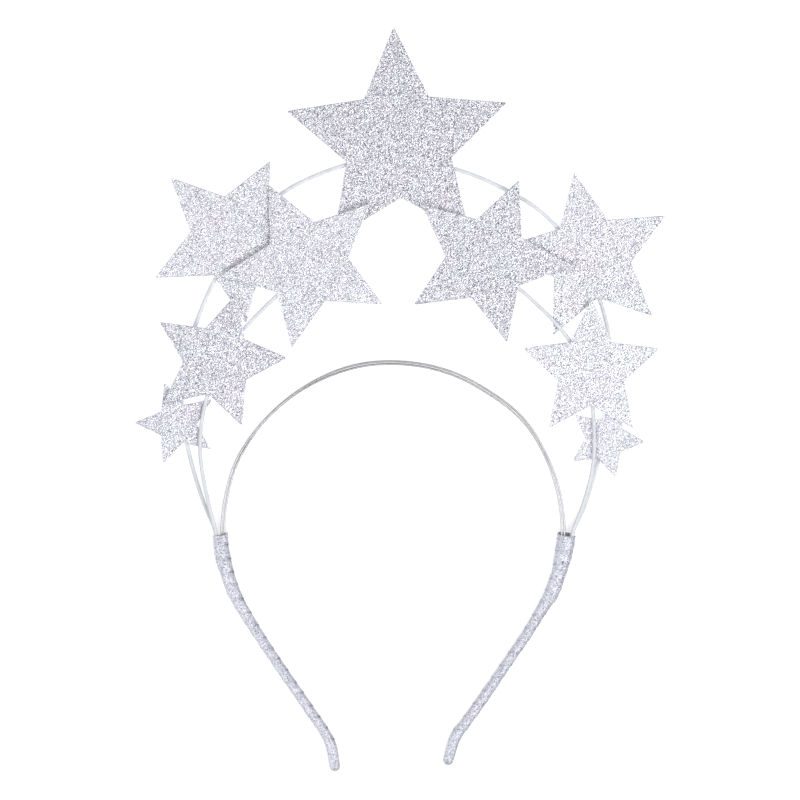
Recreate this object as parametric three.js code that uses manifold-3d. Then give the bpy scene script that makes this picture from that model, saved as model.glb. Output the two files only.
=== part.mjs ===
// Star headband: a sprung band of two steel wires with ribbon-wound legs,
// and two arches of coated wire that carry stars cut from glitter foam.
// Millimetres. It lies on its back: +X to the right of its face, +Y towards the top star, +Z up
// out of the stars. The origin is on the surface it lies on, under the middle of its outline.

import * as THREE from 'three';
import { mergeVertices } from 'three/addons/utils/BufferGeometryUtils.js';
import Module from 'manifold-3d';

const wasm = await Module();
wasm.setup();

// Driving sizes
const SEAT_GAP = 0.3; // between pieces that are glued or pressed together
const LIFT = 0.02; // keeps the bends of the outer halo wire above the surface
const FOAM = 1.2; // thickness of a star
const TIP_TRIM = 0.9; // length of each edge that a rounded tip takes up
const TIP_LOSS = 0.4; // how far a rounded tip falls short of a sharp one
const HALO_WIRE = 1.4; // diameter of a halo wire over its coating
const BAND_WIRE = 0.7; // diameter of a bare band wire
const BAND_SPREAD = BAND_WIRE + SEAT_GAP; // between the centres of the two band wires
const RIBBON_WALL = 0.4; // ribbon beside the halo wires' hole
const RIBBON_SINK = 0.4; // how much of a round leg is pressed flat underneath
const LEG_TIP = 1.9; // length of a leg's rounded tip
const SOCKET_DEPTH = 11; // how far the halo wires' hole goes into a leg
const SOCKET_LOW = 0.9; // lowest and highest point of that hole
const SOCKET_HIGH = 4.6;
const MOUTH_OVERRUN = 1; // how far a cutting shape runs out of a leg's mouth
const CORE_CLEARANCE = 0.3; // round the band wires inside a leg
const RIBBON_SQUARENESS = 2.5; // 2 is an ellipse, more is squarer
const HOLE_SQUARENESS = 4;

// How finely round and bent shapes are divided
const WIRE_ARC_STEPS = 4; // a circle takes twice as many
const HALO_STEPS = 84;
const BAND_STEPS = 84;
const BAND_POINTS_PER_ROW = 3;
const TIP_ARC_STEPS = 4;
const LEG_SIDES = 16;
const LEG_RINGS_PER_ROW = 2;
const LEG_TIP_RINGS = 3;
const LEG_TIP_ANGLE = 80; // degrees round the tip at its last ring, where a flat cap closes it
const CORE_SIDES = 8;
const CORE_RINGS = 24;
const SOCKET_RINGS = 4;

// Heights above the surface: the outer halo wire lies on it, the inner one clears the rear stars.
// REAR and FRONT are the back faces of the two layers of stars.
const OUTER_Z = HALO_WIRE / 2 + LIFT;
const INNER_Z = 3.6;
const SOCKET_OUTER_Z = INNER_Z - HALO_WIRE - SEAT_GAP;
const REAR = OUTER_Z + HALO_WIRE / 2 + SEAT_GAP;
const FRONT = INNER_Z + HALO_WIRE / 2 + SEAT_GAP;
const BAND_Z = 2.3;
const CORE_Z = 1.65;

// Stars: centre, radius to the tips, share of it to the notches, turn clockwise from one tip straight
// up, height of the back face at the centre, and a lean that lowers the side facing leanTo. Angles in
// degrees.
const STARS = {
  top: { x: -0.6, y: 90.1, radius: 40.2, notch: 0.477, turn: -2.2, back: REAR, lean: 0, leanTo: 0 },
  upper_left: { x: -58.75, y: 56.8, radius: 29.8, notch: 0.485, turn: 26.5, back: REAR + 0.2, lean: 1, leanTo: -80 },
  upper_right: { x: 66.4, y: 50.1, radius: 29.9, notch: 0.477, turn: -10.7, back: REAR + 0.2, lean: 1.2, leanTo: -116 },
  small_left: { x: -78, y: -8.1, radius: 14.6, notch: 0.465, turn: -16.8, back: REAR + 0.25, lean: 4, leanTo: 0 },
  small_right: { x: 71.9, y: -13.7, radius: 13.5, notch: 0.51, turn: 20.8, back: REAR + 0.15, lean: 7, leanTo: 180 },
  inner_left: { x: -32.45, y: 47.8, radius: 29.9, notch: 0.481, turn: -25.7, back: FRONT, lean: 0, leanTo: 0 },
  inner_right: { x: 30.3, y: 49.2, radius: 29.7, notch: 0.478, turn: 22.1, back: FRONT, lean: 0, leanTo: 0 },
  mid_left: { x: -63.6, y: 13.9, radius: 24, notch: 0.494, turn: 15.6, back: FRONT, lean: 0, leanTo: 0 },
  mid_right: { x: 66.7, y: 10.5, radius: 24.7, notch: 0.484, turn: 0.2, back: FRONT, lean: 0, leanTo: 0 },
};

// Outer halo wire, from inside the left leg over the crown into the right leg
const OUTER_HALO = [
  { x: -62.8, y: -56, z: SOCKET_OUTER_Z },
  { x: -63.75, y: -51, z: SOCKET_OUTER_Z },
  { x: -64.2, y: -46.2, z: SOCKET_OUTER_Z },
  { x: -65.4, y: -43, z: 1.75 },
  { x: -67.8, y: -38, z: 1.4 },
  { x: -73.2, y: -21, z: 0.82 },
  { x: -76.4, y: -3, z: OUTER_Z },
  { x: -75.7, y: 12, z: OUTER_Z },
  { x: -71.6, y: 26.3, z: OUTER_Z },
  { x: -65.3, y: 41.3, z: OUTER_Z },
  { x: -54.7, y: 59.2, z: OUTER_Z },
  { x: -41.5, y: 72.4, z: OUTER_Z },
  { x: -19.1, y: 82.4, z: OUTER_Z },
  { x: -0.5, y: 85.3, z: OUTER_Z },
  { x: 20.9, y: 80.5, z: OUTER_Z },
  { x: 31.5, y: 76.4, z: OUTER_Z },
  { x: 46, y: 68.6, z: OUTER_Z },
  { x: 55.1, y: 60.4, z: OUTER_Z },
  { x: 67, y: 42, z: OUTER_Z },
  { x: 72.5, y: 26, z: OUTER_Z },
  { x: 73.6, y: 6, z: OUTER_Z },
  { x: 70.7, y: -15, z: OUTER_Z },
  { x: 68, y: -26, z: 0.9 },
  { x: 63.8, y: -39, z: 1.5 },
  { x: 60.2, y: -46, z: SOCKET_OUTER_Z },
  { x: 59.4, y: -51, z: SOCKET_OUTER_Z },
  { x: 58.1, y: -56, z: SOCKET_OUTER_Z },
];

// Inner halo wire: it runs in front of the rear stars, and dips behind the top star at the crown
const INNER_HALO = [
  { x: -62.8, y: -56, z: INNER_Z },
  { x: -63.75, y: -51, z: INNER_Z },
  { x: -64.2, y: -46.2, z: INNER_Z },
  { x: -65, y: -43, z: INNER_Z },
  { x: -66.6, y: -37, z: INNER_Z },
  { x: -69.7, y: -20, z: INNER_Z },
  { x: -69.2, y: -7, z: INNER_Z },
  { x: -66.2, y: 5, z: INNER_Z },
  { x: -59.6, y: 18.5, z: INNER_Z },
  { x: -48.1, y: 31.7, z: INNER_Z },
  { x: -35, y: 43.8, z: 3.5 },
  { x: -28.7, y: 49.6, z: 2.3 },
  { x: -22.9, y: 55, z: 0.9 },
  { x: -16.6, y: 61.3, z: OUTER_Z },
  { x: -8.6, y: 68, z: OUTER_Z },
  { x: 0.2, y: 72.3, z: OUTER_Z },
  { x: 8.9, y: 68.6, z: OUTER_Z },
  { x: 16.6, y: 62.3, z: OUTER_Z },
  { x: 23, y: 56, z: 0.9 },
  { x: 29, y: 50.2, z: 2.3 },
  { x: 35.4, y: 44.3, z: 3.5 },
  { x: 48.1, y: 33.3, z: INNER_Z },
  { x: 59, y: 21.3, z: INNER_Z },
  { x: 65.4, y: 8, z: INNER_Z },
  { x: 67.7, y: -8, z: INNER_Z },
  { x: 67.4, y: -22.8, z: INNER_Z },
  { x: 63.8, y: -37, z: INNER_Z },
  { x: 60.2, y: -46, z: INNER_Z },
  { x: 59.4, y: -51, z: INNER_Z },
  { x: 58.1, y: -56, z: INNER_Z },
];

// Arch of the band between the legs' mouths. The two wires lie side by side where twist is 0,
// and one above the other where it is 90 degrees.
const BAND_ARCH = [
  { x: -60.95, y: -56, z: 2.2, twist: 0 },
  { x: -61.6, y: -51, z: BAND_Z, twist: 0 },
  { x: -62, y: -46.6, z: BAND_Z, twist: 20 },
  { x: -60.8, y: -34, z: BAND_Z, twist: 25 },
  { x: -56.9, y: -21, z: BAND_Z, twist: 35 },
  { x: -47.4, y: -7, z: BAND_Z, twist: 75 },
  { x: -33, y: 4.8, z: BAND_Z, twist: 60 },
  { x: -16, y: 11.9, z: BAND_Z, twist: 0 },
  { x: 0, y: 13.2, z: BAND_Z, twist: 25 },
  { x: 16, y: 10.3, z: BAND_Z, twist: 0 },
  { x: 30, y: 3.5, z: BAND_Z, twist: 0 },
  { x: 43.5, y: -7.1, z: BAND_Z, twist: 30 },
  { x: 51.8, y: -21, z: BAND_Z, twist: 40 },
  { x: 55.9, y: -34, z: BAND_Z, twist: 0 },
  { x: 57.1, y: -46.6, z: BAND_Z, twist: 0 },
  { x: 56.6, y: -51, z: BAND_Z, twist: 0 },
  { x: 55.6, y: -56, z: 2.2, twist: 0 },
];

// Legs from mouth to tip: the axis, the width across, and the height of the top.
// The band wires follow the axis from coreRow on, and end at the last row.
const LEGS = {
  left: {
    coreRow: 4,
    rows: [
      { x: -62.8, y: -46.6, width: 5.5, top: 5.5 },
      { x: -62.5, y: -51, width: 5.5, top: 5.5 },
      { x: -61.7, y: -55.6, width: 5.7, top: 5.5 },
      { x: -60.6, y: -59.6, width: 5.1, top: 5.2 },
      { x: -58.4, y: -66.2, width: 4.9, top: 4.8 },
      { x: -55.2, y: -72.6, width: 4.4, top: 4.1 },
      { x: -48.1, y: -84, width: 3.9, top: 3.7 },
      { x: -40.1, y: -95.9, width: 3.8, top: 3.7 },
      { x: -31.2, y: -108.8, width: 3.8, top: 3.6 },
      { x: -26.2, y: -116.2, width: 3.8, top: 3.6 },
      { x: -24, y: -121.1, width: 4.1, top: 3.6 },
      { x: -22.8, y: -127.8, width: 3.9, top: 3.6 },
    ],
  },
  right: {
    coreRow: 4,
    rows: [
      { x: 58.2, y: -46.6, width: 6.6, top: 5.5 },
      { x: 57.6, y: -51, width: 6.6, top: 5.5 },
      { x: 56.7, y: -55.6, width: 6.2, top: 5.5 },
      { x: 55.5, y: -60.2, width: 5.5, top: 5.2 },
      { x: 53, y: -67.3, width: 5.4, top: 4.8 },
      { x: 50.2, y: -72, width: 4.4, top: 4.1 },
      { x: 44.4, y: -81.6, width: 3.9, top: 3.7 },
      { x: 37.7, y: -91.4, width: 3.8, top: 3.7 },
      { x: 30.1, y: -102.6, width: 4.0, top: 3.6 },
      { x: 23.4, y: -112, width: 4.0, top: 3.6 },
      { x: 19.3, y: -117.8, width: 4.2, top: 3.6 },
      { x: 16.9, y: -125.6, width: 3.9, top: 3.6 },
    ],
  },
};

const GLITTER_FOAM = { color: 0xd6d4e0, roughness: 0.35, metalness: 0.6 };
const GLITTER_RIBBON = { color: 0xcbc8da, roughness: 0.4, metalness: 0.5 };
const WHITE_COATING = { color: 0xf0f2f5, roughness: 0.35, metalness: 0 };
const BRIGHT_STEEL = { color: 0xa9abad, roughness: 0.3, metalness: 1 };

const UP = new THREE.Vector3(0, 0, 1);
const toRadians = THREE.MathUtils.degToRad;
const vectors = (rows) => rows.map((row) => new THREE.Vector3(row.x, row.y, row.z ?? 0));

// A value of a table's column at t, from 0 on the first row to 1 on the last
function columnAt(rows, column, t) {
  const place = t * (rows.length - 1);
  const row = Math.min(Math.floor(place), rows.length - 2);
  return THREE.MathUtils.lerp(rows[row][column], rows[row + 1][column], place - row);
}

// The level direction to the left of a route
function acrossOf(tangent) {
  return new THREE.Vector3().crossVectors(UP, tangent).setZ(0).normalize();
}

// Stars

function starShape(radius, notchShare) {
  const corner = (n) => {
    const reach = (radius + TIP_LOSS) * (n % 2 === 0 ? 1 : notchShare);
    const angle = Math.PI / 2 + (n * Math.PI) / 5;
    return new THREE.Vector2(Math.cos(angle), Math.sin(angle)).multiplyScalar(reach);
  };
  const trimmed = (tip, notch) => notch.clone().sub(tip).setLength(TIP_TRIM).add(tip);
  const shape = new THREE.Shape();
  shape.moveTo(corner(-1).x, corner(-1).y);
  for (let n = 0; n < 10; n += 2) {
    const tip = corner(n);
    const notch = corner(n + 1);
    const start = trimmed(tip, corner(n - 1));
    const end = trimmed(tip, notch);
    shape.lineTo(start.x, start.y);
    shape.quadraticCurveTo(tip.x, tip.y, end.x, end.y);
    shape.lineTo(notch.x, notch.y);
  }
  return shape;
}

function addStar(group, name, star) {
  const geometry = new THREE.ExtrudeGeometry(starShape(star.radius, star.notch), {
    depth: FOAM,
    bevelEnabled: false,
    curveSegments: TIP_ARC_STEPS,
  });
  geometry.rotateZ(-toRadians(star.turn));
  const mesh = addMesh(group, `star_${name}`, geometry, GLITTER_FOAM);
  const towards = toRadians(star.leanTo);
  const hinge = new THREE.Vector3(-Math.sin(towards), Math.cos(towards), 0);
  mesh.quaternion.setFromAxisAngle(hinge, toRadians(star.lean));
  mesh.position.set(star.x, star.y, star.back);
}

// Wires

function wireGeometry(points, diameter, steps) {
  const section = new THREE.Shape();
  section.absarc(0, 0, diameter / 2, 0, 2 * Math.PI, false);
  return new THREE.ExtrudeGeometry(section, {
    steps,
    bevelEnabled: false,
    curveSegments: WIRE_ARC_STEPS,
    extrudePath: new THREE.CatmullRomCurve3(points),
  });
}

function addHaloWire(group, name, rows) {
  addMesh(group, name, wireGeometry(vectors(rows), HALO_WIRE, HALO_STEPS), WHITE_COATING);
}

// The band's rows inside a leg, from its socket to its tip
function coreRows(leg) {
  return leg.rows.slice(leg.coreRow).map(({ x, y }) => ({ x, y, z: CORE_Z, twist: 0 }));
}

// Points along one of the band's two wires: side is 1 or -1
function bandWirePoints(side) {
  const rows = [...coreRows(LEGS.left).reverse(), ...BAND_ARCH, ...coreRows(LEGS.right)];
  const route = new THREE.CatmullRomCurve3(vectors(rows));
  const count = BAND_POINTS_PER_ROW * rows.length;
  return Array.from({ length: count + 1 }, (_, n) => {
    const t = n / count;
    const twist = toRadians(columnAt(rows, 'twist', t));
    const reach = (side * BAND_SPREAD) / 2;
    return route.getPoint(t)
      .addScaledVector(acrossOf(route.getTangent(t)), reach * Math.cos(twist))
      .addScaledVector(UP, reach * Math.sin(twist));
  });
}

function addBandWire(group, name, side) {
  addMesh(group, name, wireGeometry(bandWirePoints(side), BAND_WIRE, BAND_STEPS), BRIGHT_STEEL);
}

// Legs

// A closed cylinder bent so that each of its rings becomes a section: a rounded oblong with a
// centre, a level direction across, half its width and height, and squareness 2 for an ellipse
function bentCylinder(sections, sides, squareness) {
  const geometry = new THREE.CylinderGeometry(1, 1, 1, sides, sections.length - 1);
  const position = geometry.attributes.position;
  const oblong = (value) => Math.sign(value) * Math.abs(value) ** (2 / squareness);
  for (let n = 0; n < position.count; n += 1) {
    const ring = Math.round((0.5 - position.getY(n)) * (sections.length - 1));
    const { centre, across, halfWidth, halfHeight } = sections[ring];
    const sideways = halfWidth * oblong(position.getX(n));
    const height = centre.z + halfHeight * oblong(position.getZ(n));
    const point = centre.clone().addScaledVector(across, sideways);
    position.setXYZ(n, point.x, point.y, Math.max(0, height));
  }
  return geometry;
}

function legRoute(leg) {
  return new THREE.CatmullRomCurve3(vectors(leg.rows));
}

// Sections of the wound ribbon's outside, the last few closing its rounded tip
function ribbonSections(leg) {
  const route = legRoute(leg);
  const section = (t, overrun, scale) => {
    const tangent = route.getTangent(t);
    const top = columnAt(leg.rows, 'top', t);
    const halfHeight = (top + RIBBON_SINK) / 2;
    const centre = route.getPoint(t).addScaledVector(tangent, overrun).setZ(top - halfHeight);
    const halfWidth = (columnAt(leg.rows, 'width', t) / 2) * scale;
    return { centre, across: acrossOf(tangent), halfWidth, halfHeight: halfHeight * scale };
  };
  const rings = LEG_RINGS_PER_ROW * (leg.rows.length - 1);
  const body = Array.from({ length: rings + 1 }, (_, n) => section(n / rings, 0, 1));
  const tip = Array.from({ length: LEG_TIP_RINGS }, (_, n) => {
    const angle = toRadians((LEG_TIP_ANGLE * (n + 1)) / LEG_TIP_RINGS);
    return section(1, LEG_TIP * Math.sin(angle), Math.cos(angle));
  });
  return [...body, ...tip];
}

// Sections of the hole at a leg's mouth that takes the halo wires beside the band wires
function socketSections(leg) {
  const route = legRoute(leg);
  const length = route.getLength();
  const halfHeight = (SOCKET_HIGH - SOCKET_LOW) / 2;
  return Array.from({ length: SOCKET_RINGS + 1 }, (_, n) => {
    const t = route.getUtoTmapping((SOCKET_DEPTH * n) / SOCKET_RINGS / length);
    const tangent = route.getTangent(t);
    const overrun = n === 0 ? -MOUTH_OVERRUN : 0;
    const centre = route.getPoint(t).addScaledVector(tangent, overrun);
    centre.setZ(SOCKET_LOW + halfHeight);
    const halfWidth = columnAt(leg.rows, 'width', t) / 2 - RIBBON_WALL;
    return { centre, across: acrossOf(tangent), halfWidth, halfHeight };
  });
}

// Sections of the hole round the band wires, from a row in the socket to just past their ends
function coreSections(leg, socketRow) {
  const route = new THREE.CatmullRomCurve3(vectors([socketRow, ...coreRows(leg)]));
  const halfWidth = (BAND_SPREAD + BAND_WIRE) / 2 + CORE_CLEARANCE;
  const halfHeight = BAND_WIRE / 2 + CORE_CLEARANCE;
  return Array.from({ length: CORE_RINGS + 1 }, (_, n) => {
    const t = n / CORE_RINGS;
    const tangent = route.getTangentAt(t);
    const overrun = n === CORE_RINGS ? SEAT_GAP : 0;
    const centre = route.getPointAt(t).addScaledVector(tangent, overrun);
    return { centre, across: acrossOf(tangent), halfWidth, halfHeight };
  });
}

function solidOf(geometry) {
  const bare = geometry.clone();
  bare.deleteAttribute('normal');
  bare.deleteAttribute('uv');
  const merged = mergeVertices(bare);
  return new wasm.Manifold(new wasm.Mesh({
    numProp: 3,
    vertProperties: merged.attributes.position.array,
    triVerts: Uint32Array.from(merged.index.array),
  }));
}

function geometryOf(solid) {
  const { vertProperties, triVerts } = solid.getMesh();
  const geometry = new THREE.BufferGeometry();
  geometry.setAttribute('position', new THREE.BufferAttribute(vertProperties, 3));
  geometry.setIndex(new THREE.BufferAttribute(triVerts, 1));
  geometry.computeVertexNormals();
  return geometry;
}

function addLeg(group, name, leg, socketRow) {
  const ribbon = solidOf(bentCylinder(ribbonSections(leg), LEG_SIDES, RIBBON_SQUARENESS));
  const socket = solidOf(bentCylinder(socketSections(leg), LEG_SIDES, HOLE_SQUARENESS));
  const core = solidOf(bentCylinder(coreSections(leg, socketRow), CORE_SIDES, HOLE_SQUARENESS));
  addMesh(group, name, geometryOf(ribbon.subtract(socket).subtract(core)), GLITTER_RIBBON);
}

// Assembly

function addMesh(group, name, geometry, finish) {
  const mesh = new THREE.Mesh(geometry, new THREE.MeshStandardMaterial(finish));
  mesh.name = name;
  group.add(mesh);
  return mesh;
}

const headband = new THREE.Group();
Object.entries(STARS).forEach(([name, star]) => addStar(headband, name, star));
addHaloWire(headband, 'halo_wire_outer', OUTER_HALO);
addHaloWire(headband, 'halo_wire_inner', INNER_HALO);
addBandWire(headband, 'band_wire_upper', 1);
addBandWire(headband, 'band_wire_lower', -1);
addLeg(headband, 'leg_wrap_left', LEGS.left, BAND_ARCH[0]);
addLeg(headband, 'leg_wrap_right', LEGS.right, BAND_ARCH.at(-1));

export default headband;
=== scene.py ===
import bisect
import math
import random

import bmesh
import bpy
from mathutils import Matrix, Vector
from mathutils.geometry import delaunay_2d_cdt


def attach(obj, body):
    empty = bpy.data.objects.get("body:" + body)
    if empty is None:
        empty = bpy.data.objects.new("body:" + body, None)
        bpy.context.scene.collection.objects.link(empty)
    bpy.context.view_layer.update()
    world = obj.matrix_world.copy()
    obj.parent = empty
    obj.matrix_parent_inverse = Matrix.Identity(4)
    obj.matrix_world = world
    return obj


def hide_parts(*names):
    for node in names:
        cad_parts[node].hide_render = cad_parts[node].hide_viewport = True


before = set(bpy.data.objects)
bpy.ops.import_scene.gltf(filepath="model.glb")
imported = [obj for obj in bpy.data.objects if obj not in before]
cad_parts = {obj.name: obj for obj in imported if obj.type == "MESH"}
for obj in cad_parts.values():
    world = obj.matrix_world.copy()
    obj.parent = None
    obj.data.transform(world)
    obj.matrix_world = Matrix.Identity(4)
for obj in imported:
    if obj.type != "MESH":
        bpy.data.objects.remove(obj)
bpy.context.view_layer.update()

MM = 0.001

# Points closer together than this are merged
WELD = 0.001 * MM

# Material slots of a glitter piece: the glitter film, and the plain foam or cloth that carries it
FILM = 0
CARRIER = 1

# Glitter foam. Its film flakes are about 0.2 mm across; drawn at 0.32 mm so that they show. Then how far
# their corners stand up or down and, in flakes, how far those stray from a honeycomb and the gap that they
# keep to the rim
FLAKE = 0.32 * MM
FLAKE_STAND = 0.065 * MM
FLAKE_JITTER = 0.32
FLAKE_MARGIN = 0.4

# The softened die-cut rim: its width, its segments, and how far a face has to look forward to carry glitter
RIM = 0.15 * MM
RIM_SEGMENTS = 2
RIM_FACING = 0.2

# A star's outline: an edge this long is a straight side, faces within this angle are one flat face, and a
# side that turns by less than this sine goes straight on
LONG_EDGE = 2 * MM
FLAT_ANGLE = math.radians(0.5)
STRAIGHT_SINE = 1e-4

# Triangulation of the flakes: keep those inside the outline, and take closer points, in metres, as one
INSIDE_ONLY = 1
SAME_PLACE = 1e-9

# Tones of each star's flakes, from 0 to 1: the middle one and their spread. The order gives the seeds
# The middle tones differ from star to star as painted light and shade: each stands for how brightly light
# falls on that star
STAR_TONES_WITH_PAINTED_LIGHT = {
    "star_top": (0.525, 0.40),
    "star_upper_left": (0.575, 0.26),
    "star_upper_right": (0.585, 0.325),
    "star_inner_left": (0.57, 0.255),
    "star_inner_right": (0.525, 0.36),
    "star_mid_left": (0.54, 0.32),
    "star_mid_right": (0.605, 0.28),
    "star_small_left": (0.51, 0.235),
    "star_small_right": (0.605, 0.22),
}

# Colour of a flake by its tone, and the roughness of the brightest and of the darkest flakes
STAR_TONES = [
    (0.0, "#474652"),
    (0.25, "#8b8a95"),
    (0.5, "#c9c8d1"),
    (0.75, "#dddde3"),
    (1.0, "#e9eaed"),
]
STAR_ROUGHNESS = (0.25, 0.4)
RIBBON_TONES = [
    (0.0, "#545560"),
    (0.25, "#898a95"),
    (0.5, "#bebfca"),
    (0.75, "#dcdde4"),
    (1.0, "#f0f1f5"),
]
RIBBON_ROUGHNESS = (0.5, 0.65)

# Wires: how much an eight-sided section is swollen before subdivision rounds it off. The halo wires come out
# at their CAD size, and the band wires about 0.08 mm thicker. Then the levels of the subdivision
HALO_SWELL = 0.07 * MM
BAND_SWELL = 0.08 * MM
WIRE_ROUNDING = 2

# Legs: glitter ribbon wound round the wires' ends. For each leg:
# rows: sections from the mouth to the tip, in mm: x, y, width, height of the top
# hand: 1 if the outer side is the left one when looking to the tip, or else -1; the ribbon winds to match
# seed: where its random draws start
# the three shades: painted shade, how much darker the flakes are painted on the outer side, on the inner
# side and, there, below each lip, in place of how light falls on the leg and the shade under its lips; below
# 0 paints light
# set_down, dip, drop, rise: the ribbon's cut end at the mouth, in mm: how far it is set down all round, how
# far its front lip dips, how far its outer side drops and how far its inner corner rises
LEGS = {
    "leg_wrap_left": {
        "rows": [
            (-62.8, -46.6, 5.5, 5.5),
            (-62.5, -51.0, 5.5, 5.5),
            (-61.7, -55.6, 5.7, 5.5),
            (-60.6, -59.6, 5.1, 5.2),
            (-58.4, -66.2, 4.9, 4.8),
            (-55.2, -72.6, 4.4, 4.1),
            (-48.1, -84.0, 3.9, 3.7),
            (-40.1, -95.9, 3.8, 3.7),
            (-31.2, -108.8, 3.8, 3.6),
            (-26.2, -116.2, 3.8, 3.6),
            (-24.0, -121.1, 4.1, 3.6),
            (-22.8, -127.8, 3.9, 3.6),
        ],
        "hand": -1,
        "seed": 21,
        "painted_shade_outer": -0.17,
        "painted_shade_inner": 0.08,
        "painted_shade_lip_inner": 0.2,
        "set_down": 0.5,
        "dip": 0.1,
        "drop": 0.1,
        "rise": 0.9,
    },
    "leg_wrap_right": {
        "rows": [
            (58.2, -46.6, 6.6, 5.5),
            (57.6, -51.0, 6.6, 5.5),
            (56.7, -55.6, 6.2, 5.5),
            (55.5, -60.2, 5.5, 5.2),
            (53.0, -67.3, 5.4, 4.8),
            (50.2, -72.0, 4.4, 4.1),
            (44.4, -81.6, 3.9, 3.7),
            (37.7, -91.4, 3.8, 3.7),
            (30.1, -102.6, 4.0, 3.6),
            (23.4, -112.0, 4.0, 3.6),
            (19.3, -117.8, 4.2, 3.6),
            (16.9, -125.6, 3.9, 3.6),
        ],
        "hand": 1,
        "seed": 22,
        "painted_shade_outer": 0.1,
        "painted_shade_inner": -0.09,
        "painted_shade_lip_inner": 0.06,
        "set_down": 0.15,
        "dip": 0.65,
        "drop": 0.5,
        "rise": 0.0,
    },
}

# Both legs, in mm: how far a section would sink into the surface that presses it flat, the length of the
# rounded tip, the depth of the open mouth, and how far ahead and back a leg's heading is read
LEG_SINK = 0.4
LEG_TIP = 1.9
SOCKET_DEPTH = 3.5
HEADING_REACH = 0.5

# How square a section is, where 2 is an ellipse, and the number of points round it
LEG_SQUARENESS = 2.5
LEG_SIDES = 44

# The ribbon's laps, in mm: the shortest and the longest, how far a lip stands out, how far the next lap is
# tucked under it, the length of the tip without laps, the ribbon's thickness and the height of its grain
LAP_SHORTEST = 4.2
LAP_LONGEST = 6.0
LAP_STEP = 0.2
LAP_TUCK = 0.12
PLAIN_TIP = 9.0
RIBBON_WALL = 0.45
RIBBON_GRAIN = 0.03

# Spaces between the rings of points on a lap, and the rings. How far points stray, in shares of their
# spacing, and how deep the tip without laps lies, as a share of a lip
LAP_SPACES = 16
LAP_RINGS = LAP_SPACES + 1
RIBBON_JITTER = 0.3
PLAIN_INSET = 0.5

# Tones of the ribbon's flakes: the middle one, their spread, and painted shade under each lip: how much
# darker the flakes are painted all round, and for what share of a lap below the lip
RIBBON_BRIGHTNESS = 0.52
RIBBON_SPREAD = 0.2
PAINTED_SHADE_LIP = 0.05
LIP_REACH = 0.35

# Light table, in metres: its size, and how far it lies below the headband
TABLE_SIZE = 8
TABLE_DROP = 0.1 * MM

# The pale room: its colours from the -Y end through the middle to the +Y end, and how strongly it shines
ROOM_COLOURS = [(0.0, "#39393b"), (0.5, "#fefeff"), (1.0, "#39393b")]
ROOM_STRENGTH = 0.315

# Softboxes: place, width and depth in metres, and power in watts
SOFTBOXES = {
    "key_strip": ((0.3, -0.7, 1.3), 2.3, 0.35, 14.7),
    "panel_left": ((-1.0, -0.1, 1.1), 1.2, 1.2, 9.9),
    "panel_right": ((0.85, 0.25, 1.25), 1.2, 1.2, 13.5),
    "low_fill": ((0, 1.4, 0.5), 1.8, 1.0, 3),
}

# Camera, in metres: its height, the width of the frame on the surface, and a rise of half a pixel. Then the
# width of its sensor, in mm
CAMERA_HEIGHT = 1.6
FRAME_WIDTH = 0.28
CAMERA_RISE = 0.175 * MM
SENSOR = 36.0


def linear(code):
    """The linear colour of an sRGB hex value such as #c8c4d6."""
    parts = [int(code[at:at + 2], 16) / 255 for at in (1, 3, 5)]
    bent = [p / 12.92 if p <= 0.04045 else ((p + 0.055) / 1.055) ** 2.4 for p in parts]
    return (*bent, 1.0)


def add_node(tree, kind, sockets, stops=(), **settings):
    """Adds a node with its settings, its ramp's stops, and its sockets: values or other nodes' outputs."""
    node = tree.nodes.new("ShaderNode" + kind)
    for name, value in settings.items():
        setattr(node, name, value)
    for index, (place, code) in enumerate(stops):
        elements = node.color_ramp.elements
        stop = elements[index] if index < 2 else elements.new(1.0)
        stop.position = place
        stop.color = linear(code)
    for name, value in sockets.items():
        if isinstance(value, bpy.types.NodeSocket):
            tree.links.new(value, node.inputs[name])
        else:
            node.inputs[name].default_value = value
    return node


def empty_material(name):
    """A material with no nodes yet, and its node tree."""
    material = bpy.data.materials.new(name)
    material.use_nodes = True
    material.node_tree.nodes.clear()
    return material, material.node_tree


def glitter_film(name, stops, roughness):
    """Cut flakes of metallised polyester film set in clear binder on a carrier sheet.

    To the eye: a sparkling grain of white, silver and grey-lavender specks, each a tiny flat mirror,
    under a sheen that drifts between lilac and ice. Every flake's tone is the face attribute "flake".
    """
    sheen_patch = 9 * MM
    bright, dark = roughness
    material, tree = empty_material(name)
    flake = add_node(tree, "Attribute", {}, attribute_name="flake")
    tone = add_node(tree, "ValToRGB", {"Fac": flake.outputs["Fac"]}, stops)
    place = add_node(tree, "TexCoord", {})
    drift = add_node(tree, "TexNoise", {"Vector": place.outputs["Object"], "Scale": 1 / sheen_patch})
    lilac_to_ice = [(0.35, "#fffcff"), (0.65, "#fcffff")]
    sheen = add_node(tree, "ValToRGB", {"Fac": drift.outputs["Fac"]}, lilac_to_ice)
    colour = add_node(tree, "MixRGB", {
        "Fac": 1.0,
        "Color1": tone.outputs["Color"],
        "Color2": sheen.outputs["Color"],
    }, blend_type="MULTIPLY")
    dull = add_node(tree, "MapRange", {
        "Value": flake.outputs["Fac"],
        "To Min": dark,
        "To Max": bright,
    })
    film = add_node(tree, "BsdfPrincipled", {
        "Base Color": colour.outputs["Color"],
        "Metallic": 0.45,
        "Roughness": dull.outputs["Result"],
    })
    add_node(tree, "OutputMaterial", {"Surface": film.outputs["BSDF"]})
    return material


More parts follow.
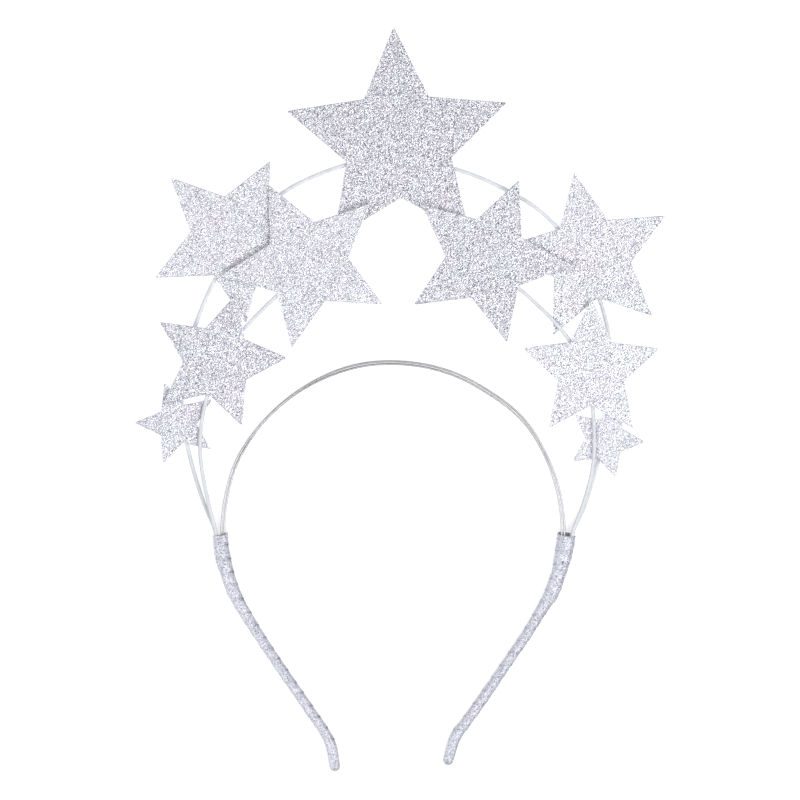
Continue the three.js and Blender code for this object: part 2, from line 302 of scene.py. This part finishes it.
def white_foam():
    """Die-cut EVA foam, closed-cell: soft matt white with a fine pore grain on its cut sides and back."""
    # Pores are about 0.1 mm; drawn at 0.6 mm so that they show.
    pore = 0.6 * MM
    pore_depth = 0.03 * MM
    material, tree = empty_material("eva_foam_die_cut")
    place = add_node(tree, "TexCoord", {})
    pores = add_node(tree, "TexNoise", {
        "Vector": place.outputs["Object"],
        "Scale": 1 / pore,
        "Detail": 2.0,
    })
    tint = add_node(tree, "ValToRGB", {"Fac": pores.outputs["Fac"]}, [(0.3, "#e6e4ec"), (0.7, "#f8f7fa")])
    dents = add_node(tree, "Bump", {
        "Height": pores.outputs["Fac"],
        "Distance": pore_depth,
        "Strength": 0.5,
    })
    foam = add_node(tree, "BsdfPrincipled", {
        "Base Color": tint.outputs["Color"],
        "Roughness": 0.75,
        "Normal": dents.outputs["Normal"],
    })
    add_node(tree, "OutputMaterial", {"Surface": foam.outputs["BSDF"]})
    return material


def ribbon_backing():
    """Woven polyester: the plain, pale grey, matt back of the ribbon, seen only inside a leg's mouth."""
    # Threads are about 0.15 mm; drawn at 0.4 mm so that they show.
    thread = 0.4 * MM
    thread_depth = 0.04 * MM
    material, tree = empty_material("polyester_woven_backing")
    place = add_node(tree, "TexCoord", {})
    threads = add_node(tree, "TexNoise", {"Vector": place.outputs["Object"], "Scale": 1 / thread})
    tint = add_node(tree, "ValToRGB", {"Fac": threads.outputs["Fac"]}, [(0.3, "#b9b7c2"), (0.7, "#d2d0da")])
    weave = add_node(tree, "Bump", {
        "Height": threads.outputs["Fac"],
        "Distance": thread_depth,
        "Strength": 0.6,
    })
    cloth = add_node(tree, "BsdfPrincipled", {
        "Base Color": tint.outputs["Color"],
        "Roughness": 0.85,
        "Normal": weave.outputs["Normal"],
    })
    add_node(tree, "OutputMaterial", {"Surface": cloth.outputs["BSDF"]})
    return material


def coated_wire():
    """PVC-coated craft wire, extruded: satin white with a soft highlight and slightly uneven gloss."""
    uneven_patch = 3.0 * MM
    material, tree = empty_material("pvc_coated_wire")
    place = add_node(tree, "TexCoord", {})
    cloud = add_node(tree, "TexNoise", {
        "Vector": place.outputs["Object"],
        "Scale": 1 / uneven_patch,
        "Detail": 3.0,
    })
    tint = add_node(tree, "ValToRGB", {"Fac": cloud.outputs["Fac"]}, [(0.3, "#c1c4c9"), (0.7, "#cfd2d6")])
    gloss = add_node(tree, "MapRange", {
        "Value": cloud.outputs["Fac"],
        "To Min": 0.3,
        "To Max": 0.45,
    })
    coat = add_node(tree, "BsdfPrincipled", {
        "Base Color": tint.outputs["Color"],
        "Roughness": gloss.outputs["Result"],
        "IOR": 1.53,
    })
    add_node(tree, "OutputMaterial", {"Surface": coat.outputs["BSDF"]})
    return material


def drawn_steel():
    """Drawn spring-steel wire, bare: bright grey metal, finely scuffed by the drawing."""
    # Draw marks are a few hundredths of a millimetre wide; drawn at 0.25 mm so that they show.
    draw_mark = 0.25 * MM
    material, tree = empty_material("spring_steel_drawn")
    place = add_node(tree, "TexCoord", {})
    marks = add_node(tree, "TexNoise", {
        "Vector": place.outputs["Object"],
        "Scale": 1 / draw_mark,
        "Detail": 2.0,
    })
    tint = add_node(tree, "ValToRGB", {"Fac": marks.outputs["Fac"]}, [(0.3, "#acabae"), (0.7, "#c2c1c4")])
    gloss = add_node(tree, "MapRange", {
        "Value": marks.outputs["Fac"],
        "To Min": 0.22,
        "To Max": 0.38,
    })
    steel = add_node(tree, "BsdfPrincipled", {
        "Base Color": tint.outputs["Color"],
        "Metallic": 1.0,
        "Roughness": gloss.outputs["Result"],
    })
    add_node(tree, "OutputMaterial", {"Surface": steel.outputs["BSDF"]})
    return material


def opal_panel():
    """Opal acrylic, cast, lit from below: the even white of a photographer's light table."""
    uneven_patch = 40 * MM
    material, tree = empty_material("opal_acrylic_panel")
    place = add_node(tree, "TexCoord", {})
    cloud = add_node(tree, "TexNoise", {"Vector": place.outputs["Object"], "Scale": 1 / uneven_patch})
    tint = add_node(tree, "ValToRGB", {"Fac": cloud.outputs["Fac"]}, [(0.3, "#babbbc"), (0.7, "#bebfc0")])
    panel = add_node(tree, "BsdfPrincipled", {
        "Base Color": tint.outputs["Color"],
        "Roughness": 0.8,
        "Emission Color": linear("#ffffff"),
        "Emission Strength": 0.6,
    })
    add_node(tree, "OutputMaterial", {"Surface": panel.outputs["BSDF"]})
    return material


def select_only(piece):
    """Makes one object the only selected one, and the active one."""
    bpy.ops.object.select_all(action="DESELECT")
    piece.select_set(True)
    bpy.context.view_layer.objects.active = piece


def copy_of_node(node, name):
    """A new object with its own copy of a CAD node's mesh, its loose triangles merged."""
    piece = bpy.data.objects.new(name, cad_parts[node].data.copy())
    piece.data.materials.clear()
    bpy.context.scene.collection.objects.link(piece)
    select_only(piece)
    bpy.ops.object.mode_set(mode="EDIT")
    bpy.ops.mesh.select_all(action="SELECT")
    bpy.ops.mesh.remove_doubles(threshold=WELD)
    bpy.ops.object.mode_set(mode="OBJECT")
    return piece


def stand_for(piece, node):
    """Lets a piece stand for a CAD node on the object's one body."""
    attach(piece, "root")
    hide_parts(node)


def front_face(mesh):
    """The big face of a star that looks at the viewer."""
    return max(mesh.faces, key=lambda face: face.normal.z * face.calc_area())


def soften_rim(leaf):
    """Rounds the die-cut front rim and divides the long straight sides into flake-sized steps."""
    select_only(leaf)
    bpy.ops.object.mode_set(mode="EDIT")
    bpy.ops.mesh.select_all(action="SELECT")
    bpy.ops.mesh.dissolve_limited(angle_limit=FLAT_ANGLE)
    bpy.ops.mesh.select_mode(type="EDGE")
    bpy.ops.mesh.select_all(action="DESELECT")
    mesh = bmesh.from_edit_mesh(leaf.data)
    for edge in front_face(mesh).edges:
        edge.select = True
    bmesh.update_edit_mesh(leaf.data)
    bpy.ops.mesh.bevel(offset=RIM, segments=RIM_SEGMENTS, profile=0.5)
    bpy.ops.mesh.select_all(action="DESELECT")
    mesh = bmesh.from_edit_mesh(leaf.data)
    lengths = [edge.calc_length() for edge in mesh.edges]
    for edge, length in zip(mesh.edges, lengths):
        edge.select = length > LONG_EDGE
    bmesh.update_edit_mesh(leaf.data)
    bpy.ops.mesh.subdivide(number_cuts=int(max(lengths) / FLAKE))
    bpy.ops.object.mode_set(mode="OBJECT")


def sharp_corners(outline):
    """The points at which a closed outline turns."""
    corners = []
    for before, here, after in zip(outline[-1:] + outline[:-1], outline, outline[1:] + outline[:1]):
        turn = (here[0] - before[0]) * (after[1] - here[1]) - (here[1] - before[1]) * (after[0] - here[0])
        if abs(turn) > STRAIGHT_SINE * math.dist(before, here) * math.dist(here, after):
            corners.append(here)
    return corners


def inside(point, outline):
    """Whether a flat point lies inside a closed outline."""
    crossings = 0
    for (x0, y0), (x1, y1) in zip(outline, outline[1:] + outline[:1]):
        if (y0 > point[1]) != (y1 > point[1]):
            crossings += point[0] < x0 + (x1 - x0) * (point[1] - y0) / (y1 - y0)
    return crossings % 2 == 1


def clear_of(point, outline, gap):
    """Whether a flat point keeps a gap to every side of an outline."""
    for (x0, y0), (x1, y1) in zip(outline, outline[1:] + outline[:1]):
        along_x, along_y = x1 - x0, y1 - y0
        reach = (point[0] - x0) * along_x + (point[1] - y0) * along_y
        share = min(max(reach / (along_x ** 2 + along_y ** 2), 0), 1)
        if math.hypot(point[0] - x0 - share * along_x, point[1] - y0 - share * along_y) < gap:
            return False
    return True


def flake_points(outline, draw):
    """Places of the flakes' corners: a jittered honeycomb inside the outline."""
    corners = sharp_corners(outline)
    low = [min(point[axis] for point in outline) for axis in (0, 1)]
    high = [max(point[axis] for point in outline) for axis in (0, 1)]
    rise = FLAKE * math.sqrt(3) / 2
    points = []
    for row in range(int((high[1] - low[1]) / rise) + 1):
        for column in range(int((high[0] - low[0]) / FLAKE) + 1):
            stray = draw.uniform(-FLAKE_JITTER, FLAKE_JITTER)
            x = low[0] + (column + 0.5 * (row % 2) + stray) * FLAKE
            y = low[1] + row * rise + draw.uniform(-FLAKE_JITTER, FLAKE_JITTER) * FLAKE
            if inside((x, y), corners) and clear_of((x, y), corners, FLAKE_MARGIN * FLAKE):
                points.append((x, y))
    return points


def flake_tone(brightness, spread, draw):
    """A flake's tone, from 0 to 1."""
    return min(max(draw.gauss(brightness, spread), 0), 1)


def lay_flakes(leaf, brightness, spread, draw):
    """Replaces a star's flat front with a crust of tilted flakes, each with a tone of its own."""
    mesh = bmesh.new()
    mesh.from_mesh(leaf.data)
    tone = mesh.faces.layers.float.new("flake")
    front = front_face(mesh)
    rim = list(front.verts)
    centre = front.calc_center_median()
    normal = front.normal.copy()
    across = Vector((0, 1, 0)).cross(normal).normalized()
    upward = normal.cross(across)
    outline = [((v.co - centre).dot(across), (v.co - centre).dot(upward)) for v in rim]
    points = [Vector(point) for point in outline + flake_points(outline, draw)]
    sides = [(at, (at + 1) % len(rim)) for at in range(len(rim))]
    laid = delaunay_2d_cdt(points, sides, [], INSIDE_ONLY, SAME_PLACE)
    places, _, triangles, sources, _, _ = laid
    mesh.faces.remove(front)
    corner_of = []
    for place, source in zip(places, sources):
        if source and source[0] < len(rim):
            corner_of.append(rim[source[0]])
        else:
            stand = draw.uniform(-1, 1) * FLAKE_STAND
            corner_of.append(mesh.verts.new(centre + across * place.x + upward * place.y + normal * stand))
    for face in mesh.faces:
        face[tone] = flake_tone(brightness, spread, draw)
        face.material_index = FILM if face.normal.dot(normal) > RIM_FACING else CARRIER
    for triangle in triangles:
        flake = mesh.faces.new([corner_of[index] for index in triangle])
        flake[tone] = flake_tone(brightness, spread, draw)
        flake.material_index = FILM
    mesh.normal_update()
    for face in mesh.faces:
        if face.material_index == FILM and face.normal.dot(normal) < 0:
            face.normal_flip()
    mesh.to_mesh(leaf.data)
    mesh.free()


def star(node, brightness, spread, seed, film, foam):
    """One star: a die-cut leaf of white foam with a crust of glitter on its front."""
    leaf = copy_of_node(node, node + "_leaf")
    leaf.data.materials.append(film)
    leaf.data.materials.append(foam)
    soften_rim(leaf)
    lay_flakes(leaf, brightness, spread, random.Random(seed))
    stand_for(leaf, node)


def wire(node, swell, material):
    """A wire along its CAD route, its eight-sided section rounded by subdivision."""
    piece = copy_of_node(node, node + "_round")
    piece.data.materials.append(material)
    bpy.ops.object.mode_set(mode="EDIT")
    bpy.ops.mesh.select_all(action="SELECT")
    bpy.ops.mesh.tris_convert_to_quads()
    bpy.ops.transform.shrink_fatten(value=swell)
    bpy.ops.object.mode_set(mode="OBJECT")
    rounding = piece.modifiers.new("rounding", "SUBSURF")
    rounding.levels = WIRE_ROUNDING
    rounding.render_levels = WIRE_ROUNDING
    bpy.ops.object.modifier_apply(modifier=rounding.name)
    bpy.ops.object.shade_smooth()
    stand_for(piece, node)


def row_marks(rows):
    """Distance of each section along a leg, from its mouth."""
    marks = [0.0]
    for start, end in zip(rows, rows[1:]):
        marks.append(marks[-1] + math.dist(start[:2], end[:2]))
    return marks


def leg_row(rows, marks, distance):
    """A leg's section at a distance from its mouth, on curves through the rows, and how far past them."""
    last = len(rows) - 1
    reach = min(max(distance, 0), marks[-1])
    at = min(max(bisect.bisect_right(marks, reach) - 1, 0), last - 1)
    span = marks[at + 1] - marks[at]
    share = (reach - marks[at]) / span
    before, after = max(at - 1, 0), min(at + 2, last)
    section = []
    for column in range(len(rows[0])):
        start, end = rows[at][column], rows[at + 1][column]
        leave = (end - rows[before][column]) / (marks[at + 1] - marks[before]) * span
        arrive = (rows[after][column] - start) / (marks[after] - marks[at]) * span
        section.append(
            start * (1 + 2 * share) * (1 - share) ** 2 + end * (3 - 2 * share) * share ** 2
            + leave * share * (1 - share) ** 2 - arrive * (1 - share) * share ** 2
        )
    return section, distance - reach


def leg_point(rows, marks, distance, angle, inset):
    """A point on a leg's skin, in mm: angle 0 is on the left when looking to the tip, 90 degrees on top."""
    (x, y, width, top), beyond = leg_row(rows, marks, distance)
    (x_back, y_back, _, _), _ = leg_row(rows, marks, min(distance, marks[-1]) - HEADING_REACH)
    (x_on, y_on, _, _), _ = leg_row(rows, marks, max(distance, 0) + HEADING_REACH)
    step = math.hypot(x_on - x_back, y_on - y_back)
    heading = ((x_on - x_back) / step, (y_on - y_back) / step)
    height = (top + LEG_SINK) / 2
    taper = math.sqrt(max(1 - (max(beyond, 0) / LEG_TIP) ** 2, 0))
    bend = 2 / LEG_SQUARENESS
    side = math.copysign(abs(math.cos(angle)) ** bend, math.cos(angle)) * (width / 2 - inset) * taper
    lift = math.copysign(abs(math.sin(angle)) ** bend, math.sin(angle)) * (height - inset) * taper
    floor = max(inset, 0)
    return (
        x + heading[0] * beyond - heading[1] * side,
        y + heading[1] * beyond + heading[0] * side,
        max(top - height + lift, floor),
    )


def lap_starts(length, draw):
    """Distances at which the ribbon's turns begin, from before the mouth to past the tip."""
    starts = [-LAP_LONGEST]
    while starts[-1] < length + 2 * LAP_LONGEST:
        starts.append(starts[-1] + draw.uniform(LAP_SHORTEST, LAP_LONGEST))
    return starts


def turn_distance(starts, turn):
    """Distance along a leg that the ribbon has reached after so many turns."""
    whole = min(max(math.floor(turn), 0), len(starts) - 2)
    return starts[whole] + (turn - whole) * (starts[whole + 1] - starts[whole])


def facing(hand, angle):
    """How far a point of a leg's section looks outwards and how far inwards, each from 0 to 1."""
    return max(hand * math.cos(angle), 0), max(-hand * math.cos(angle), 0)


def mouth_edge(plan, angle):
    """Distance along a leg of the ribbon's cut end."""
    outer, inner = facing(plan["hand"], angle)
    level = plan["set_down"] + plan["dip"] * math.sin(angle)
    return level + plan["drop"] * outer ** 2 - plan["rise"] * inner ** 2


def socket_rings(plan, marks):
    """Rings inside a leg's mouth: the socket's floor, the foot of its wall and the cut end's inner edge."""
    rows = plan["rows"]
    angles = [2 * math.pi * (side % LEG_SIDES) / LEG_SIDES for side in range(LEG_SIDES + 1)]
    left = leg_point(rows, marks, SOCKET_DEPTH, 0, RIBBON_WALL)
    right = leg_point(rows, marks, SOCKET_DEPTH, math.pi, RIBBON_WALL)
    middle = [(a + b) / 2 for a, b in zip(left, right)]
    foot = [leg_point(rows, marks, SOCKET_DEPTH, angle, RIBBON_WALL) for angle in angles]
    edge = [leg_point(rows, marks, mouth_edge(plan, angle), angle, RIBBON_WALL) for angle in angles]
    return [[middle] * len(angles), foot, edge]


def lap_strays(turns, draw):
    """How far each point on the laps strays: round the leg, along it and outwards."""
    strays = {}
    for ring in range(-LAP_RINGS, (turns + 1) * LAP_RINGS):
        for side in range(LEG_SIDES):
            around = draw.uniform(-RIBBON_JITTER, RIBBON_JITTER)
            along = draw.uniform(-RIBBON_JITTER, RIBBON_JITTER)
            strays[ring, side] = (around, along, draw.uniform(-1, 1))
    return strays


def lap_rings(plan, marks, starts, draw):
    """Rings of points on the laps, and the painted shade of each point. A lap swells to a lip over the next.
    """
    hand = plan["hand"]
    length = marks[-1] + LEG_TIP
    turns = len(starts) - 1
    strays = lap_strays(turns, draw)
    rings = []
    painted_shades = []
    for ring in range(turns * LAP_RINGS):
        turn, step = divmod(ring, LAP_RINGS)
        phase = step / LAP_SPACES
        row = []
        for side in range(LEG_SIDES + 1):
            same = (ring, side) if side < LEG_SIDES else (ring + hand * LAP_RINGS, 0)
            stray_around, stray_along, stray_out = strays[same]
            angle = 2 * math.pi * side / LEG_SIDES
            cut_end = mouth_edge(plan, angle)
            distance = turn_distance(starts, turn + phase + hand * side / LEG_SIDES)
            plain = distance > length - PLAIN_TIP
            inset = LAP_STEP * (PLAIN_INSET if plain else 1 - phase)
            if step == 0 and not plain:
                distance -= LAP_TUCK
            if cut_end < distance < marks[-1]:
                if 0 < step < LAP_SPACES:
                    distance += stray_along * LAP_SHORTEST / LAP_SPACES
                    angle += stray_around * 2 * math.pi / LEG_SIDES
                inset -= stray_out * RIBBON_GRAIN
            distance = min(max(distance, cut_end), length)
            row.append(leg_point(plan["rows"], marks, distance, angle, inset if distance > cut_end else 0))
            # Painted shade and light: flakes darker or lighter towards the leg's sides, and darker under
            # each lip, for how light falls there
            outer, inner = facing(hand, angle)
            under = 0 if plain else max(1 - phase / LIP_REACH, 0)
            painted_shade_below_lip = under * (PAINTED_SHADE_LIP + plan["painted_shade_lip_inner"] * inner)
            painted_shades.append(plan["painted_shade_outer"] * outer + plan["painted_shade_inner"] * inner + painted_shade_below_lip)
        rings.append(row)
    return rings, painted_shades


def leg(node, plan, film, backing):
    """A leg: glitter ribbon wound up from the tip, every turn lapping over the one below it."""
    draw = random.Random(plan["seed"])
    marks = row_marks(plan["rows"])
    starts = lap_starts(marks[-1] + LEG_TIP, draw)
    socket = socket_rings(plan, marks)
    laps, painted_shades = lap_rings(plan, marks, starts, draw)
    rings = socket + laps
    bpy.ops.object.select_all(action="DESELECT")
    bpy.ops.mesh.primitive_grid_add(x_subdivisions=LEG_SIDES, y_subdivisions=len(rings) - 1)
    piece = bpy.context.object
    piece.name = node + "_ribbon"
    mesh = piece.data
    mesh.materials.append(film)
    mesh.materials.append(backing)
    mesh.vertices.foreach_set("co", [value * MM for row in rings for point in row for value in point])
    # The painted shade of each point, which the flakes' tones take below
    painted_shade = mesh.attributes.new("painted_shade", "FLOAT", "POINT")
    painted_shade.data.foreach_set("value", [0.0] * (len(mesh.vertices) - len(painted_shades)) + painted_shades)
    socket_faces = (len(socket) - 1) * LEG_SIDES
    ribbon_faces = len(mesh.polygons) - socket_faces
    mesh.polygons.foreach_set("material_index", [CARRIER] * socket_faces + [FILM] * ribbon_faces)
    bpy.ops.object.mode_set(mode="EDIT")
    bpy.ops.mesh.select_all(action="SELECT")
    bpy.ops.mesh.remove_doubles(threshold=WELD)
    bpy.ops.mesh.dissolve_degenerate(threshold=WELD)
    bpy.ops.mesh.select_all(action="SELECT")
    bpy.ops.mesh.quads_convert_to_tris(quad_method="SHORTEST_DIAGONAL")
    bpy.ops.mesh.normals_make_consistent(inside=False)
    bpy.ops.object.mode_set(mode="OBJECT")
    painted_shade = mesh.attributes["painted_shade"]
    # Each flake's tone is darkened by the painted shade of its corners
    tones = []
    for face in mesh.polygons:
        painted_shade_mean = sum(painted_shade.data[corner].value for corner in face.vertices) / len(face.vertices)
        tones.append(flake_tone(RIBBON_BRIGHTNESS - painted_shade_mean, RIBBON_SPREAD, draw))
    tone = mesh.attributes.new("flake", "FLOAT", "FACE")
    tone.data.foreach_set("value", tones)
    stand_for(piece, node)


def soft_light(name, place, width, depth, power):
    """A softbox that looks at the middle of the headband."""
    bpy.ops.object.light_add(type="AREA", location=place)
    light = bpy.context.object
    light.name = name
    light.data.shape = "RECTANGLE"
    light.data.size = width
    light.data.size_y = depth
    light.data.energy = power
    light.visible_camera = False
    light.rotation_euler = (-Vector(place)).to_track_quat("-Z", "Y").to_euler()


def light_table():
    """The floor: a light table under the headband."""
    bpy.ops.mesh.primitive_plane_add(size=TABLE_SIZE, location=(0, 0, -TABLE_DROP))
    floor = bpy.context.object
    floor.name = "floor"
    floor.data.materials.append(opal_panel())


def pale_room():
    """A room that is pale overhead and to the sides, and darker towards both ends of the headband."""
    world = bpy.data.worlds.new("pale_room")
    bpy.context.scene.world = world
    world.use_nodes = True
    tree = world.node_tree
    tree.nodes.clear()
    direction = add_node(tree, "TexCoord", {})
    parts = add_node(tree, "SeparateXYZ", {"Vector": direction.outputs["Generated"]})
    ahead = add_node(tree, "MapRange", {"Value": parts.outputs["Y"], "From Min": -1.0})
    wall = add_node(tree, "ValToRGB", {"Fac": ahead.outputs["Result"]}, ROOM_COLOURS)
    room = add_node(tree, "Background", {"Color": wall.outputs["Color"], "Strength": ROOM_STRENGTH})
    add_node(tree, "OutputWorld", {"Surface": room.outputs["Background"]})


def photo_camera():
    """A camera straight above, with +Y up in the picture."""
    bpy.ops.object.camera_add(location=(0, CAMERA_RISE, CAMERA_HEIGHT), rotation=(0, 0, 0))
    camera = bpy.context.object
    camera.name = "photo_camera"
    camera.data.sensor_width = SENSOR
    camera.data.lens = SENSOR * CAMERA_HEIGHT / FRAME_WIDTH
    bpy.context.scene.camera = camera


star_film = glitter_film("glitter_foam_film", STAR_TONES, STAR_ROUGHNESS)
ribbon_film = glitter_film("glitter_ribbon_film", RIBBON_TONES, RIBBON_ROUGHNESS)
foam = white_foam()
backing = ribbon_backing()
white_coating = coated_wire()
steel = drawn_steel()

# Each star's middle tone carries painted light and shade
for seed, (node, (brightness, spread)) in enumerate(STAR_TONES_WITH_PAINTED_LIGHT.items()):
    star(node, brightness, spread, seed, star_film, foam)
for node in ("halo_wire_outer", "halo_wire_inner"):
    wire(node, HALO_SWELL, white_coating)
for node in ("band_wire_upper", "band_wire_lower"):
    wire(node, BAND_SWELL, steel)
for node, plan in LEGS.items():
    leg(node, plan, ribbon_film, backing)

light_table()
pale_room()
for name, (place, width, depth, power) in SOFTBOXES.items():
    soft_light(name, place, width, depth, power)
photo_camera()
bpy.context.scene.view_settings.view_transform = "Standard"
